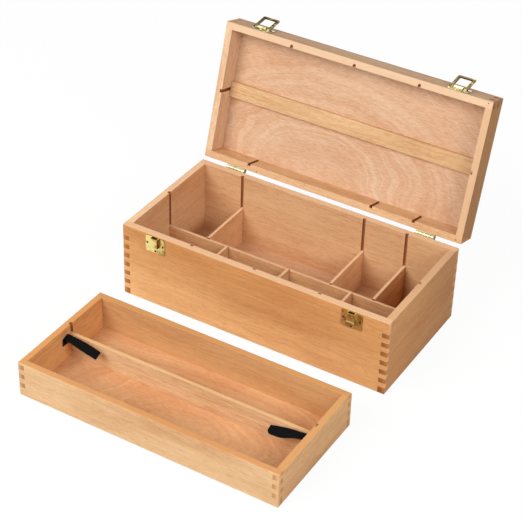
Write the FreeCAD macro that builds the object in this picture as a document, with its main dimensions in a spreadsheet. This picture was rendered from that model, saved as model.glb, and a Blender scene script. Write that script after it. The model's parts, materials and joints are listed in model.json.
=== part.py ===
import FreeCAD, Part
import os
import re

# A beech toolbox: a finger-jointed case with loose dividers, a lid on two stop
# hinges, two brass loop latches and a lift-out tray that stands in front.
# The origin is the middle of the case's underside, X runs along the case, Y
# from front to back and Z up. Lengths are in millimetres, angles in degrees.

LENGTHS = {
    # case
    "case_length": 400,
    "case_width": 196,
    "case_height": 112,
    "case_wall": 10,
    "case_finger_start": 2.9,
    "case_finger_land": 10,
    "finger_height": 7.1,
    "edge_round": 1.1,
    "base_thick": 4,
    "base_lap": 5,
    # dividers and their grooves
    "divider_thick": 4,
    "divider_play": 0.25,
    "groove_depth": 3,
    "cross_groove_depth": 1.2,
    "long_divider_top": 58,
    "cross_divider_top": 60,
    # lid
    "lid_frame_height": 30,
    "lid_finger_start": 7.1,
    "lid_finger_land": 1,
    "lid_panel_thick": 4,
    "batten_width": 22,
    "batten_thick": 6.5,
    # hinges
    "hinge_length": 28,
    "hinge_inset": 52.5,
    "leaf_height": 14,
    "leaf_thick": 1,
    "knuckle_radius": 2.1,
    "knuckle_clear": 0.1,
    "knuckle_play": 0.3,
    "hinge_pin_radius": 0.9,
    "running_play": 0.05,
    "heel_inner": 3.4,
    "heel_outer": 5.4,
    "heel_foot": 6.9,
    "heel_gap": 0.1,
    # latches
    "latch_inset": 52.5,
    "latch_plate_width": 30,
    "latch_plate_height": 17,
    "plate_thick": 1,
    "plate_round": 3,
    "latch_plate_rise": 1,
    "latch_knuckle_radius": 2.4,
    "latch_knuckle_bite": 0.2,
    "latch_knuckle_length": 13,
    "latch_axis_rise": 5,
    "loop_width": 25.6,
    "loop_length": 27.5,
    "loop_strip": 4.5,
    "loop_thick": 1.5,
    "loop_round": 2.2,
    "loop_bar_radius": 1,
    "loop_eye_radius": 1.5,
    # keepers
    "keeper_width": 30,
    "keeper_height": 25,
    "keeper_drop": 1.5,
    "hook_width": 11,
    "hook_height": 15,
    "hook_drop": 0.5,
    "hook_reach": 4.5,
    "hook_sheet": 1,
    "hook_round": 3.5,
    # nails
    "nail_radius": 0.6,
    "nail_length": 7,
    "nail_head_radius": 1.4,
    "nail_head_height": 0.35,
    "nail_crown_radius": 0.8,
    "nail_play": 0.05,
    "nail_inset": 3,
    # tray
    "tray_length": 377,
    "tray_width": 174,
    "tray_height": 51.5,
    "tray_wall": 9,
    "tray_finger_start": 12.9,
    "tray_finger_land": 2,
    "tray_base_thick": 3,
    "tray_base_lap": 4,
    "tray_middle_x": 3,
    "tray_middle_y": -259,
    "tray_divider_thick": 5,
    "tray_divider_top": 36.5,
    "tray_divider_place": 12,
    # pull straps
    "strap_width": 12,
    "strap_thick": 1.6,
    "strap_length": 47,
    "strap_place": -5,
    "strap_foot": 28,
    "strap_fold": 36,
    "tack_length": 5,
    # cutting tools reach this far past the faces that they cut
    "overrun": 2,
}

ANGLES = {
    "open_angle": 106.3,
    "loop_angle": 21,
    "strap_droop": 5,
    "strap_tilt": 22,
}

# Where the cross dividers stand, as shares of the room between the end walls
REAR_DIVIDER_SHARES = (1 / 6, 4 / 6, 5 / 6)
FRONT_DIVIDER_SHARES = (1 / 4, 2 / 4, 3 / 4)
# Where the nails sit on a keeper or latch plate, from its middle, as shares of
# half its width and of the room that the nail inset leaves in its height
KEEPER_NAIL_SHARES = ((-0.8, 0.1), (0.8, 0.1), (0, -1))
LATCH_NAIL_SHARES = ((-0.8, 0.1), (0.8, 0.1), (0, 1))
HINGE_NAIL_SHARES = (-0.6, 0.6)
STRAP_TACK_SHARES = (-0.5, 0.5)
KNUCKLES = 5

FORMULAS = {
    "inner_length": "case_length - 2 * case_wall",
    "groove_width": "divider_thick + 2 * divider_play",
    "long_divider_length": "inner_length + 2 * (groove_depth - divider_play)",
    "cross_divider_end": "case_width / 2 - case_wall + groove_depth - divider_play",
    "cross_divider_root": "divider_thick / 2 - cross_groove_depth + divider_play",
    "lid_frame_top": "case_height + lid_frame_height",
    "hinge_place": "case_length / 2 - hinge_inset",
    "hinge_y": "case_width / 2 + leaf_thick + knuckle_clear + knuckle_radius",
    "hinge_z": "case_height",
    "knuckle_length": "hinge_length / knuckles",
    "heel_slope": "tan((180 - open_angle) / 2)",
    "latch_place": "case_length / 2 - latch_inset",
    "latch_y": "0 - case_width / 2 - plate_thick - latch_knuckle_radius + latch_knuckle_bite",
    "latch_z": "case_height + latch_axis_rise",
    # the latch axis once the lid stands open
    "latch_open_y": "hinge_y + (latch_y - hinge_y) * cos(open_angle) + (latch_z - hinge_z) * sin(open_angle)",
    "latch_open_z": "hinge_z - (latch_y - hinge_y) * sin(open_angle) + (latch_z - hinge_z) * cos(open_angle)",
    "keeper_top": "case_height - keeper_drop",
    "keeper_low": "keeper_top - keeper_height",
    "plate_front": "0 - case_width / 2 - plate_thick",
    "hook_top": "keeper_top - hook_drop",
    "hook_low": "hook_top - hook_height",
    "tray_left": "tray_middle_x - tray_length / 2",
    "tray_right": "tray_middle_x + tray_length / 2",
    "tray_groove_width": "tray_divider_thick + 2 * divider_play",
    "tray_divider_y": "tray_middle_y + tray_divider_place",
    "strap_near": "tray_middle_y + strap_place - strap_width / 2",
    "strap_rise": "strap_width * tan(strap_tilt)",
}

NUMBERS = {**LENGTHS, **ANGLES, "knuckles": KNUCKLES}

doc = FreeCAD.newDocument("Toolbox")
sheet = doc.addObject("Spreadsheet::Sheet", "Sizes")
for row, (word, value) in enumerate(NUMBERS.items(), start=1):
    sheet.set(f"A{row}", word)
    sheet.set(f"B{row}", str(value))
    sheet.setAlias(f"B{row}", word)
doc.recompute()


def bind(text):
    """A formula in the words above, as an expression on the sheet's cells."""
    def swap(match):
        word = match.group()
        if word in FORMULAS:
            return f"({bind(FORMULAS[word])})"
        return f"Sizes.{word}" if word in NUMBERS else word
    return re.sub(r"[a-z][a-z_]*", swap, text)


def cell(word):
    """The value of a cell of the sheet."""
    return float(sheet.get(word))


def place(piece, low):
    """Ties a piece's position to three formulas."""
    for letter, text in zip("xyz", low):
        piece.setExpression(".Placement.Base." + letter, bind(text))


def block(name, low, size):
    piece = doc.addObject("Part::Box", name)
    for side, text in zip(("Length", "Width", "Height"), size):
        piece.setExpression(side, bind(text))
    place(piece, low)
    return piece


def wedge(name, size, start_heights, end_heights):
    """A slab from X and Y zero whose lowest and highest points change along Y."""
    piece = doc.addObject("Part::Wedge", name)
    limits = {
        "Xmin": "0", "X2min": "0", "Xmax": size[0], "X2max": size[0], "Ymin": "0", "Ymax": size[1],
        "Zmin": start_heights[0], "Zmax": start_heights[1],
        "Z2min": end_heights[0], "Z2max": end_heights[1],
    }
    for limit, text in limits.items():
        piece.setExpression(limit, bind(text))
    return piece


LYING = {
    "x": FreeCAD.Rotation(FreeCAD.Vector(0, 1, 0), 90),
    "y": FreeCAD.Rotation(FreeCAD.Vector(1, 0, 0), -90),
    "z": FreeCAD.Rotation(),
}


def rod(name, axis, start, radius, length):
    """A cylinder that starts at a point and runs along +axis."""
    piece = doc.addObject("Part::Cylinder", name)
    piece.setExpression("Radius", bind(radius))
    piece.setExpression("Height", bind(length))
    piece.Placement = FreeCAD.Placement(FreeCAD.Vector(), LYING[axis])
    place(piece, start)
    return piece


def rounded_block(name, low, size, radius, wanted):
    """A block with the edges that wanted(edge) picks rounded."""
    body = doc.addObject("PartDesign::Body", name)
    box = body.newObject("PartDesign::AdditiveBox", name + "_box")
    for side, text in zip(("Length", "Width", "Height"), size):
        box.setExpression(side, bind(text))
    doc.recompute()
    edges = [f"Edge{n}" for n, edge in enumerate(box.Shape.Edges, start=1) if wanted(edge)]
    rounding = body.newObject("PartDesign::Fillet", name + "_rounding")
    rounding.Base = (box, edges)
    rounding.setExpression("Radius", bind(radius))
    body.Tip = rounding
    place(body, low)
    return body


def every(edge):
    return True


def runs_along(edge, axis):
    run = edge.Vertexes[1].Point - edge.Vertexes[0].Point
    return run.cross(axis).Length < run.Length / 2


def along_y(edge):
    return runs_along(edge, FreeCAD.Vector(0, 1, 0))


def front_foot(edge):
    """The edge along X at the front of a block's underside."""
    middle = edge.CenterOfMass
    return runs_along(edge, FreeCAD.Vector(1, 0, 0)) and middle.y == 0 and middle.z == 0


def joined(name, pieces):
    if len(pieces) == 1:
        return pieces[0]
    whole = doc.addObject("Part::MultiFuse", name)
    whole.Shapes = pieces
    return whole


def cut(name, base, tools):
    piece = doc.addObject("Part::Cut", name)
    piece.Base = base
    piece.Tool = joined(name + "_tools", tools)
    return piece


def kept_inside(name, piece, envelope):
    whole = doc.addObject("Part::Common", name)
    whole.Base = piece
    whole.Tool = envelope
    return whole


def grouped(name, pieces):
    group = doc.addObject("Part::Compound", name)
    group.Links = pieces
    return group


NODES = []


def node(piece, label):
    """Names a finished piece and puts it on the list of what is written."""
    piece.Label = label
    NODES.append(piece)
    return piece


def turned_back(piece, angle, pivot, target):
    """Turns a piece about -X so that its line at pivot (y, z) lands on target (y, z)."""
    piece.Placement = FreeCAD.Placement(FreeCAD.Vector(), FreeCAD.Rotation(FreeCAD.Vector(-1, 0, 0), 1))
    piece.setExpression(".Placement.Rotation.Angle", bind(angle))
    (pivot_y, pivot_z), (target_y, target_z) = pivot, target
    turn_y = f"({pivot_y}) * cos({angle}) + ({pivot_z}) * sin({angle})"
    turn_z = f"({pivot_z}) * cos({angle}) - ({pivot_y}) * sin({angle})"
    piece.setExpression(".Placement.Base.y", bind(f"{target_y} - ({turn_y})"))
    piece.setExpression(".Placement.Base.z", bind(f"{target_z} - ({turn_z})"))
    return piece


HINGE_LINE = ("hinge_y", "hinge_z")


def lid_node(piece, label):
    """A piece drawn on the closed lid, swung open about the hinge pins.

    It is a boolean or a group, because a block's own place is in its placement.
    """
    return node(turned_back(piece, "open_angle", HINGE_LINE, HINGE_LINE), label)


def finger_bands(height, start, land):
    """Lowest and highest points of the side walls' fingers, from the foot of the wall."""
    pitch = 2 * cell("finger_height")
    room = cell(height) - cell(start) - cell(land)
    count = int(room / pitch + 0.5)
    lows = [f"{start} + {k} * 2 * finger_height" for k in range(count)]
    return [(low, f"{low} + finger_height") for low in lows]


def jointed_walls(prefix, sizes, foot, middle, bands, grounded):
    """Four walls with interlocking fingers, as rough pieces by side.

    The end walls keep the bands, and the lowest one reaches the foot if the walls are
    grounded. The front and back walls keep what lies between them.
    """
    length, width, height, thick = sizes
    middle_x, middle_y = middle
    low_x = f"{middle_x} - {length} / 2"
    low_y = f"{middle_y} - {width} / 2"
    far_x = f"{middle_x} + {length} / 2"
    far_y = f"{middle_y} + {width} / 2"
    blocks = {
        "front": ((low_x, low_y, foot), (length, thick, height)),
        "back": ((low_x, f"{far_y} - {thick}", foot), (length, thick, height)),
        "left": ((low_x, low_y, foot), (thick, width, height)),
        "right": ((f"{far_x} - {thick}", low_y, foot), (thick, width, height)),
    }
    between = []
    below = "0 - overrun"
    for low, high in bands:
        between.append((below, low))
        below = high
    between.append((below, f"{height} + overrun"))
    if grounded:
        bands = [("0 - overrun", bands[0][1])] + bands[1:]
        between = between[1:]
    corner = f"{thick} + overrun"
    ends_x = (f"{low_x} - overrun", f"{far_x} - {thick}")
    ends_y = (f"{low_y} - overrun", f"{far_y} - {thick}")
    rows = {
        "front": (ends_x, [f"{low_y} - overrun"], bands),
        "back": (ends_x, [f"{far_y} - {thick}"], bands),
        "left": ([f"{low_x} - overrun"], ends_y, between),
        "right": ([f"{far_x} - {thick}"], ends_y, between),
    }
    rough = {}
    for side, (low, size) in blocks.items():
        xs, ys, heights = rows[side]
        tools = []
        for x in xs:
            for y in ys:
                for lowest, highest in heights:
                    tools.append(block(
                        f"{prefix}_{side}_notch",
                        (x, y, f"{foot} + {lowest}"),
                        (corner, corner, f"{highest} - ({lowest})"),
                    ))
        rough[side] = (block(f"{prefix}_{side}_block", low, size), tools)
    return rough


def divider_x(share):
    """The middle of a cross divider, from its share of the room between the end walls."""
    return f"({share}) * (inner_length + divider_thick) - (inner_length + divider_thick) / 2"


def wall_grooves(prefix, foot, height):
    """Cutting tools for the upright grooves in each wall of the case or the lid."""
    front = "0 - case_width / 2 + case_wall - groove_depth"
    back = "case_width / 2 - case_wall - overrun"
    depth = "groove_depth + overrun"
    low = f"{foot} - overrun"
    tall = f"{height} + 2 * overrun"
    grooves = {
        "front": [
            block(f"{prefix}_front_groove", (f"{divider_x(share)} - groove_width / 2", front, low),
                  ("groove_width", depth, tall))
            for share in FRONT_DIVIDER_SHARES
        ],
        "back": [
            block(f"{prefix}_back_groove", (f"{divider_x(share)} - groove_width / 2", back, low),
                  ("groove_width", depth, tall))
            for share in REAR_DIVIDER_SHARES
        ],
    }
    left = "0 - case_length / 2 + case_wall - groove_depth"
    right = "case_length / 2 - case_wall - overrun"
    for side, x in (("left", left), ("right", right)):
        grooves[side] = [block(f"{prefix}_{side}_groove", (x, "0 - groove_width / 2", low),
                               (depth, "groove_width", tall))]
    return grooves


def shifted(spot, axis, shift):
    """A spot moved along one axis."""
    return tuple(f"{text} + ({shift})" if letter == axis else text for letter, text in zip("xyz", spot))


def nail(name, axis, spot, length, forward):
    """A small domed nail. Its shank runs along +axis if forward, else along -axis."""
    if forward:
        shank_start, head_start, crown_start = "0", "0 - nail_head_height", "0 - 2 * nail_head_height"
        wide, narrow = "Radius2", "Radius1"
    else:
        shank_start, head_start, crown_start = f"0 - {length}", "0", "nail_head_height"
        wide, narrow = "Radius1", "Radius2"
    shank = rod(name + "_shank", axis, shifted(spot, axis, shank_start), "nail_radius", length)
    head = rod(name + "_head", axis, shifted(spot, axis, head_start), "nail_head_radius", "nail_head_height")
    crown = doc.addObject("Part::Cone", name + "_crown")
    crown.setExpression(wide, bind("nail_head_radius"))
    crown.setExpression(narrow, bind("nail_crown_radius"))
    crown.setExpression("Height", bind("nail_head_height"))
    crown.Placement = FreeCAD.Placement(FreeCAD.Vector(), LYING[axis])
    place(crown, shifted(spot, axis, crown_start))
    return joined(name, [shank, head, crown])


def nail_hole(name, axis, spot, length, forward, skin):
    """The hole for a nail, which also runs out through the sheet of the given thickness."""
    back = f"{skin} + overrun" if forward else length
    start = shifted(spot, axis, f"0 - ({back})")
    return rod(name, axis, start, "nail_radius + nail_play", f"{length} + {skin} + overrun")


def plate_nails(name, spots, axis, length, forward, skin):
    """Nails through a sheet on a face, with the holes that the wood and the sheet need."""
    nails, wood_holes, sheet_holes = [], [], []
    for spot in spots:
        seat = shifted(spot, axis, f"0 - {skin}" if forward else skin)
        nails.append(nail(name + "_nail", axis, seat, length, forward))
        wood_holes.append(nail_hole(name + "_wood_hole", axis, seat, length, forward, skin))
        sheet_holes.append(nail_hole(name + "_sheet_hole", axis, seat, length, forward, skin))
    return nails, wood_holes, sheet_holes


SIDES = (("left", "0 - "), ("right", ""))


def keeper(side, sign):
    """A brass plate on the case's front with a hollow hook, open at its top."""
    middle = f"{sign}latch_place"
    plate = rounded_block(
        f"keeper_{side}_sheet",
        (f"{middle} - keeper_width / 2", "plate_front", "keeper_low"),
        ("keeper_width", "plate_thick", "keeper_height"),
        "plate_round", along_y,
    )
    hook = rounded_block(
        f"keeper_{side}_hook",
        (f"{middle} - hook_width / 2", "plate_front - hook_reach", "hook_low"),
        ("hook_width", "hook_reach + plate_thick / 2", "hook_height"),
        "hook_round", front_foot,
    )
    pocket = rounded_block(
        f"keeper_{side}_pocket",
        (f"{middle} - hook_width / 2 + hook_sheet", "plate_front - hook_reach + hook_sheet",
         "hook_low + hook_sheet"),
        ("hook_width - 2 * hook_sheet", "hook_reach - hook_sheet", "hook_height + overrun"),
        "hook_round - hook_sheet", front_foot,
    )
    solid = joined(f"keeper_{side}_solid", [plate, hook])
    spots = [
        (f"{middle} + ({across}) * (keeper_width / 2)", "0 - case_width / 2",
         f"keeper_top - keeper_height / 2 + ({up}) * (keeper_height / 2 - nail_inset)")
        for across, up in KEEPER_NAIL_SHARES
    ]
    nails, wood_holes, sheet_holes = plate_nails(
        f"keeper_{side}", spots, "y", "nail_length", True, "plate_thick")
    node(cut(f"keeper_{side}_cut", solid, [pocket] + sheet_holes), f"latch_keeper_{side}")
    return nails, wood_holes


def latch_base(side, sign):
    """The lid's half of a latch: a plate on the lid's front wall with a rolled knuckle."""
    middle = f"{sign}latch_place"
    low = "case_height + latch_plate_rise"
    plate = rounded_block(
        f"latch_{side}_sheet",
        (f"{middle} - latch_plate_width / 2", "plate_front", low),
        ("latch_plate_width", "plate_thick", "latch_plate_height"),
        "plate_round", along_y,
    )
    start = f"{middle} - latch_knuckle_length / 2"
    knuckle = rod(f"latch_{side}_knuckle", "x", (start, "latch_y", "latch_z"),
                  "latch_knuckle_radius", "latch_knuckle_length")
    bore = rod(f"latch_{side}_bore", "x", (f"{start} - overrun", "latch_y", "latch_z"),
               "loop_bar_radius + running_play", "latch_knuckle_length + 2 * overrun")
    spots = [
        (f"{middle} + ({across}) * (latch_plate_width / 2)", "0 - case_width / 2",
         f"{low} + latch_plate_height / 2 + ({up}) * (latch_plate_height / 2 - nail_inset)")
        for across, up in LATCH_NAIL_SHARES
    ]
    nails, wood_holes, sheet_holes = plate_nails(
        f"latch_{side}", spots, "y", "nail_length", True, "plate_thick")
    solid = joined(f"latch_{side}_solid", [plate, knuckle])
    lid_node(cut(f"latch_{side}_cut", solid, [bore] + sheet_holes), f"latch_base_{side}")
    return nails, wood_holes


def latch_loop(side, sign):
    """The swinging loop: a flat ring whose near bar turns in the latch's knuckle."""
    middle = f"{sign}latch_place"
    low_x = f"{middle} - loop_width / 2"
    low_y = "latch_y - loop_thick / 2"
    ring = rounded_block(
        f"loop_{side}_outline", (low_x, low_y, "latch_z"),
        ("loop_width", "loop_thick", "loop_length"), "loop_round", along_y,
    )
    window = block(
        f"loop_{side}_window", (f"{low_x} + loop_strip", f"{low_y} - overrun", "latch_z - overrun"),
        ("loop_width - 2 * loop_strip", "loop_thick + 2 * overrun",
         "loop_length - loop_strip + overrun"),
    )
    # the rounded near corners give way to the eyes
    foot = block(
        f"loop_{side}_foot", (f"{low_x} - overrun", f"{low_y} - overrun", "latch_z - overrun"),
        ("loop_width + 2 * overrun", "loop_thick + 2 * overrun", "loop_round + overrun"),
    )
    strips = [
        block(f"loop_{side}_strip", (x, low_y, "latch_z"), ("loop_strip", "loop_thick", "loop_round"))
        for x in (low_x, f"{middle} + loop_width / 2 - loop_strip")
    ]
    eyes = [
        rod(f"loop_{side}_eye", "x", (x, "latch_y", "latch_z"), "loop_eye_radius", "loop_strip")
        for x in (low_x, f"{middle} + loop_width / 2 - loop_strip")
    ]
    bar = rod(f"loop_{side}_bar", "x", (f"{low_x} + loop_strip / 2", "latch_y", "latch_z"),
              "loop_bar_radius", "loop_width - loop_strip")
    frame = cut(f"loop_{side}_frame", ring, [window, foot])
    loop = joined(f"loop_{side}_solid", [frame, bar] + strips + eyes)
    turned_back(loop, "open_angle - loop_angle", ("latch_y", "latch_z"), ("latch_open_y", "latch_open_z"))
    return node(loop, f"latch_loop_{side}")


def hinge_leaf(side, sign, upper):
    """One leaf of a stop hinge, with its knuckles and the heel that stops the lid."""
    middle = f"{sign}hinge_place"
    low_x = f"{middle} - hinge_length / 2"
    word = "upper" if upper else "lower"
    name = f"leaf_{side}_{word}"
    face = "case_width / 2"
    away = "+" if upper else "-"
    low_z = "hinge_z + knuckle_play" if upper else "hinge_z - leaf_height"
    plate = block(name + "_sheet", (low_x, face, low_z),
                  ("hinge_length", "leaf_thick", "leaf_height - knuckle_play"))
    own = range(1, KNUCKLES, 2) if upper else range(0, KNUCKLES, 2)
    rings, webs, bores = [], [], []
    for k in own:
        x = f"{low_x} + {k} * knuckle_length + knuckle_play / 2"
        run = "knuckle_length - knuckle_play"
        rings.append(rod(name + "_knuckle", "x", (x, "hinge_y", "hinge_z"), "knuckle_radius", run))
        web_low = "hinge_z + knuckle_radius - leaf_thick" if upper else "hinge_z - knuckle_radius"
        webs.append(block(name + "_web", (x, face, web_low), (run, "hinge_y - case_width / 2", "leaf_thick")))
        bores.append(rod(name + "_bore", "x", (f"{x} - overrun", "hinge_y", "hinge_z"),
                         "hinge_pin_radius + running_play", f"{run} + 2 * overrun"))
    spots = [
        (f"{middle} + ({across}) * (hinge_length / 2)", face,
         f"hinge_z {away} (heel_foot + (leaf_height - heel_foot) / 2)")
        for across in HINGE_NAIL_SHARES
    ]
    nails, wood_holes, sheet_holes = plate_nails(
        name, spots, "y", "nail_length", False, "leaf_thick")
    solid = joined(name + "_solid", [plate] + rings + webs + stop_heel(name, low_x, upper))
    finish = lid_node if upper else node
    finish(cut(name + "_cut", solid, bores + sheet_holes), f"hinge_{word}_leaf_{side}")
    return nails, wood_holes


def stop_heel(name, low_x, upper):
    """The ridge across a leaf. Its slanted face meets the other leaf's at the full opening."""
    skin = "case_width / 2 + leaf_thick / 2"
    inner_height = f"hinge_y + heel_inner * heel_slope - heel_gap - ({skin})"
    outer_height = f"hinge_y + heel_outer * heel_slope - heel_gap - ({skin})"
    slopes = {
        "crest": ("heel_inner", "heel_outer", inner_height, outer_height),
        "back": ("heel_outer", "heel_foot", outer_height, "leaf_thick / 2"),
    }
    wedges = []
    for word, (near, far, near_height, far_height) in slopes.items():
        ridge = wedge(f"{name}_{word}", ("hinge_length", f"{far} - {near}"),
                      ("0", near_height), ("0", far_height))
        if upper:
            ridge.Placement = FreeCAD.Placement(
                FreeCAD.Vector(), FreeCAD.Rotation(FreeCAD.Vector(0, 1, 1), 180))
            place(ridge, (f"{low_x} + hinge_length", skin, f"hinge_z + {near}"))
        else:
            ridge.Placement = FreeCAD.Placement(
                FreeCAD.Vector(), FreeCAD.Rotation(FreeCAD.Vector(1, 0, 0), -90))
            place(ridge, (low_x, skin, f"hinge_z - {near}"))
        wedges.append(ridge)
    return wedges


def build_case():
    sizes = ("case_length", "case_width", "case_height", "case_wall")
    bands = finger_bands("case_height", "case_finger_start", "case_finger_land")
    walls = jointed_walls("case", sizes, "0", ("0", "0"), bands, True)
    envelope = rounded_block(
        "case_envelope", ("0 - case_length / 2", "0 - case_width / 2", "0"),
        ("case_length", "case_width", "case_height"), "edge_round", every,
    )
    base_low = ("base_lap - case_length / 2", "base_lap - case_width / 2", "0")
    base_size = ("case_length - 2 * base_lap", "case_width - 2 * base_lap", "base_thick")
    node(block("case_base", base_low, base_size), "case_base_panel")
    holes = {"front": [], "back": [], "left": [], "right": []}
    keeper_nails, leaf_nails, leaf_nails_lid, lid_back_holes = [], [], [], []
    for side, sign in SIDES:
        nails, wood = keeper(side, sign)
        keeper_nails += nails
        holes["front"] += wood
        nails, wood = hinge_leaf(side, sign, False)
        leaf_nails += nails
        holes["back"] += wood
        nails, wood = hinge_leaf(side, sign, True)
        leaf_nails_lid += nails
        lid_back_holes += wood
        pin = rod(f"pin_{side}", "x", (f"{sign}hinge_place - hinge_length / 2", "hinge_y", "hinge_z"),
                  "hinge_pin_radius", "hinge_length")
        node(pin, f"hinge_pin_{side}")
    grooves = wall_grooves("case", "0", "case_height")
    for side, (rough, tools) in walls.items():
        recess = block(f"case_{side}_recess", base_low, base_size)
        piece = cut(f"case_{side}_cut", rough, tools + grooves[side] + [recess] + holes[side])
        node(kept_inside(f"case_{side}_shaped", piece, envelope), f"case_{side}_wall")
    node(grouped("keeper_nail_group", keeper_nails), "keeper_nails")
    node(grouped("leaf_nail_group", leaf_nails), "hinge_nails_case")
    lid_node(grouped("leaf_nail_group_lid", leaf_nails_lid), "hinge_nails_lid")
    return lid_back_holes


def build_dividers():
    """Thin loose boards that slide down the grooves and stand on the base panel."""
    long_height = "long_divider_top - base_thick"
    board = block("long_board", ("0 - long_divider_length / 2", "0 - divider_thick / 2", "base_thick"),
                  ("long_divider_length", "divider_thick", long_height))
    slots = []
    for shares, y in ((FRONT_DIVIDER_SHARES, "0 - divider_thick / 2 - overrun"),
                      (REAR_DIVIDER_SHARES, "divider_thick / 2 - cross_groove_depth")):
        for share in shares:
            slots.append(block("long_slot", (f"{divider_x(share)} - groove_width / 2", y, "0"),
                               ("groove_width", "cross_groove_depth + overrun",
                                "long_divider_top + overrun")))
    node(cut("long_board_cut", board, slots), "long_divider")
    length = "cross_divider_end - (cross_divider_root)"
    size = ("divider_thick", length, "cross_divider_top - base_thick")
    for word, shares, y in (("front", FRONT_DIVIDER_SHARES, "0 - cross_divider_end"),
                            ("rear", REAR_DIVIDER_SHARES, "cross_divider_root")):
        for count, share in enumerate(shares, start=1):
            low = (f"{divider_x(share)} - divider_thick / 2", y, "base_thick")
            node(block(f"{word}_board_{count}", low, size), f"{word}_divider_{count}")


def build_lid(back_holes):
    sizes = ("case_length", "case_width", "lid_frame_height", "case_wall")
    bands = finger_bands("lid_frame_height", "lid_finger_start", "lid_finger_land")
    walls = jointed_walls("lid", sizes, "case_height", ("0", "0"), bands, False)
    lid_height = "lid_frame_height + lid_panel_thick"
    envelope = rounded_block(
        "lid_envelope", ("0 - case_length / 2", "0 - case_width / 2", "case_height"),
        ("case_length", "case_width", lid_height), "edge_round", every,
    )
    panel = block("lid_panel", ("0 - case_length / 2", "0 - case_width / 2", "lid_frame_top"),
                  ("case_length", "case_width", "lid_panel_thick"))
    lid_node(kept_inside("lid_panel_shaped", panel, envelope), "lid_top_panel")
    batten = block("batten", ("0 - inner_length / 2", "0 - batten_width / 2", "lid_frame_top - batten_thick"),
                   ("inner_length", "batten_width", "batten_thick"))
    lid_node(grouped("batten_part", [batten]), "lid_batten")
    holes = {"front": [], "back": back_holes, "left": [], "right": []}
    base_nails = []
    for side, sign in SIDES:
        nails, wood = latch_base(side, sign)
        base_nails += nails
        holes["front"] += wood
        latch_loop(side, sign)
    grooves = wall_grooves("lid", "case_height", "lid_frame_height")
    for side, (rough, tools) in walls.items():
        piece = cut(f"lid_{side}_cut", rough, tools + grooves[side] + holes[side])
        lid_node(kept_inside(f"lid_{side}_shaped", piece, envelope), f"lid_{side}_wall")
    lid_node(grouped("latch_nail_group", base_nails), "latch_nails")


def pull_strap(side, inner_face, inward):
    """A stiff black strap: a foot tacked to the end wall and a tongue towards the tray's middle.

    The fold between them slants, so the tongue leans to the front. It droops to its end.
    """
    low_x = inner_face if inward else f"{inner_face} - strap_thick"
    foot = wedge(f"strap_{side}_foot", ("strap_thick", "strap_width"),
                 ("0", "strap_fold - strap_foot"), ("0", "strap_fold - strap_foot + strap_rise"))
    place(foot, (low_x, "strap_near", "strap_foot"))
    fall = "strap_length * tan(strap_droop)"
    width = "strap_width / cos(strap_tilt)"
    flat = wedge(f"strap_{side}_flat", (width, "strap_length"),
                 ("0 - strap_thick", "0"), (f"0 - strap_thick - {fall}", f"0 - {fall}"))
    flat.Placement = FreeCAD.Placement(
        FreeCAD.Vector(), FreeCAD.Rotation(FreeCAD.Vector(0, 0, 1), -90 if inward else 90))
    place(flat, ("0", width if inward else "0", "0"))
    tongue = grouped(f"strap_{side}_tongue", [flat])
    tongue.Placement = FreeCAD.Placement(FreeCAD.Vector(), FreeCAD.Rotation(FreeCAD.Vector(1, 0, 0), 1))
    tongue.setExpression(".Placement.Rotation.Angle", bind("strap_tilt"))
    place(tongue, (inner_face, "strap_near", "strap_fold"))
    spots = [
        (inner_face, f"strap_near + (1 + ({across})) * (strap_width / 2)", "(strap_foot + strap_fold) / 2")
        for across in STRAP_TACK_SHARES
    ]
    tacks, wood_holes, sheet_holes = plate_nails(
        f"strap_{side}", spots, "x", "tack_length", not inward, "strap_thick")
    solid = joined(f"strap_{side}_solid", [foot, tongue])
    node(cut(f"strap_{side}_cut", solid, sheet_holes), f"pull_strap_{side}")
    return tacks, wood_holes


def build_tray():
    sizes = ("tray_length", "tray_width", "tray_height", "tray_wall")
    bands = finger_bands("tray_height", "tray_finger_start", "tray_finger_land")
    walls = jointed_walls("tray", sizes, "0", ("tray_middle_x", "tray_middle_y"), bands, False)
    envelope = rounded_block(
        "tray_envelope", ("tray_left", "tray_middle_y - tray_width / 2", "0"),
        ("tray_length", "tray_width", "tray_height"), "edge_round", every,
    )
    base_low = ("tray_left + tray_base_lap", "tray_middle_y - tray_width / 2 + tray_base_lap", "0")
    base_size = ("tray_length - 2 * tray_base_lap", "tray_width - 2 * tray_base_lap", "tray_base_thick")
    node(block("tray_base", base_low, base_size), "tray_base_panel")
    low = ("tray_left + tray_wall - groove_depth + divider_play",
           "tray_divider_y - tray_divider_thick / 2", "tray_base_thick")
    size = ("tray_length - 2 * tray_wall + 2 * groove_depth - 2 * divider_play",
            "tray_divider_thick", "tray_divider_top - tray_base_thick")
    node(block("tray_board", low, size), "tray_divider")
    holes = {"front": [], "back": [], "left": [], "right": []}
    tacks = []
    for side, inner_face, inward in (("left", "tray_left + tray_wall", True),
                                     ("right", "tray_right - tray_wall", False)):
        found, wood = pull_strap(side, inner_face, inward)
        tacks += found
        holes[side] += wood
        groove_low = f"{inner_face} - groove_depth" if inward else f"{inner_face} - overrun"
        holes[side].append(block(
            f"tray_{side}_groove", (groove_low, "tray_divider_y - tray_groove_width / 2", "0 - overrun"),
            ("groove_depth + overrun", "tray_groove_width", "tray_height + 2 * overrun")))
    for side, (rough, tools) in walls.items():
        recess = block(f"tray_{side}_recess", base_low, base_size)
        piece = cut(f"tray_{side}_cut", rough, tools + [recess] + holes[side])
        node(kept_inside(f"tray_{side}_shaped", piece, envelope), f"tray_{side}_wall")
    node(grouped("tack_group", tacks), "strap_tacks")


hinge_holes_in_lid = build_case()
build_dividers()
build_lid(hinge_holes_in_lid)
build_tray()
doc.recompute()

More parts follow.
